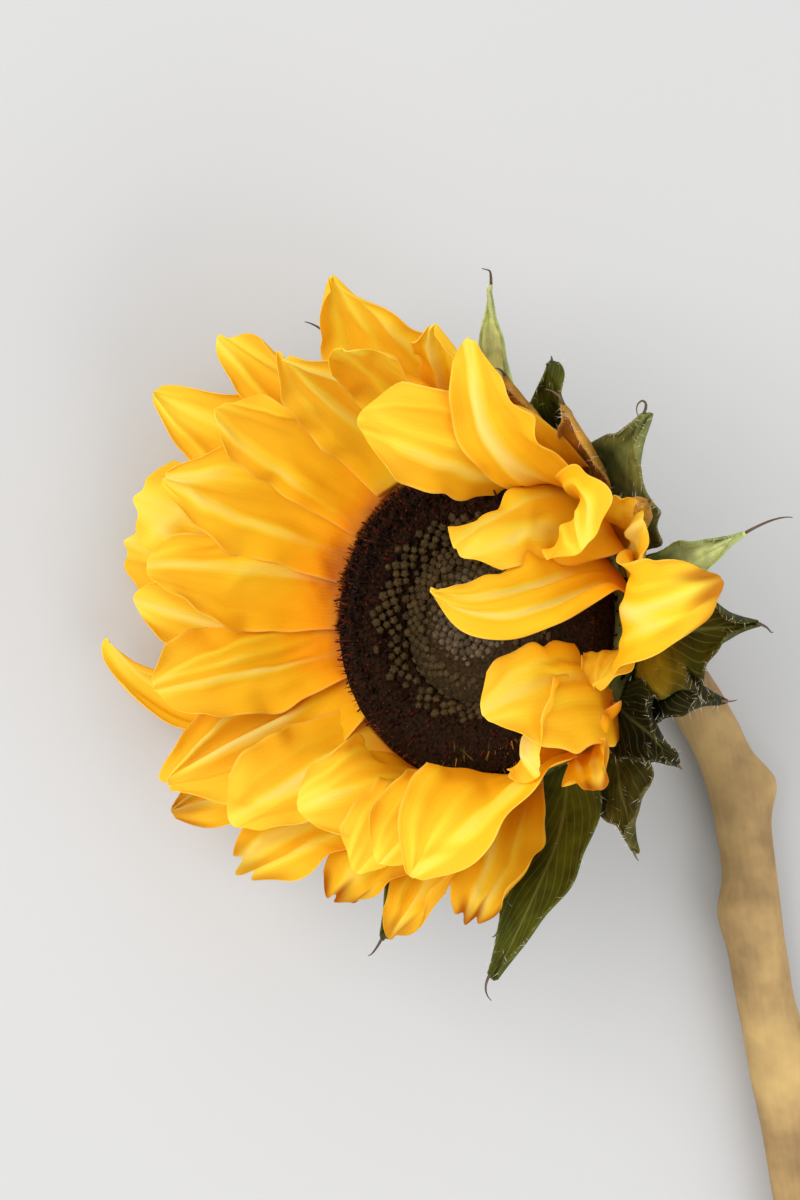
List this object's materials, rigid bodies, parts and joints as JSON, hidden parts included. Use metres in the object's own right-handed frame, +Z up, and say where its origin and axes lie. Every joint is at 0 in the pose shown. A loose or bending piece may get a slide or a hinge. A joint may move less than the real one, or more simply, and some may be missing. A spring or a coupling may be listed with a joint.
{
  "type": "cut sunflower",
  "caption": "Cut sunflower lying down: a nodding head of curled yellow petals round a dark disc, green bracts behind, on a bent bare stem.",
  "frame": {"origin": "middle of the flower's footprint, on the table it lies on", "axes": "+X along the stem from the head to the cut end, +Z up, the flower faces -Y and up"},
  "size_m": [0.3574, 0.129, 0.1022],
  "materials": {
    "stem": "matt",
    "receptacle": "matt",
    "disc_ring": "matt",
    "disc_centre": "matt",
    "petals": "satin",
    "bracts": "matt"
  },
  "bodies": {
    "root": {"stem": "stem", "receptacle": "receptacle", "disc_ring": "disc_ring", "disc_centre": "disc_centre", "petal_01": "petals", "petal_02": "petals", "petal_03": "petals", "petal_04": "petals", "petal_05": "petals", "petal_06": "petals", "petal_07": "petals", "petal_08": "petals", "petal_09": "petals", "petal_10": "petals", "petal_11": "petals", "petal_12": "petals", "petal_13": "petals", "petal_14": "petals", "petal_15": "petals", "petal_16": "petals", "petal_17": "petals", "petal_18": "petals", "petal_19": "petals", "petal_20": "petals", "petal_21": "petals", "petal_22": "petals", "petal_23": "petals", "petal_24": "petals", "petal_25": "petals", "petal_26": "petals", "petal_27": "petals", "petal_28": "petals", "petal_29": "petals", "petal_30": "petals", "petal_31": "petals", "petal_32": "petals", "petal_33": "petals", "petal_34": "petals", "petal_35": "petals", "petal_36": "petals", "bract_01": "bracts", "bract_02": "bracts", "bract_03": "bracts", "bract_04": "bracts", "bract_05": "bracts", "bract_06": "bracts", "bract_07": "bracts", "bract_08": "bracts", "bract_09": "bracts", "bract_10": "bracts", "bract_11": "bracts", "bract_12": "bracts", "bract_13": "bracts", "bract_14": "bracts", "bract_15": "bracts", "bract_16": "bracts", "bract_17": "bracts", "bract_18": "bracts", "bract_19": "bracts", "bract_20": "bracts"}
  },
  "joints": []
}
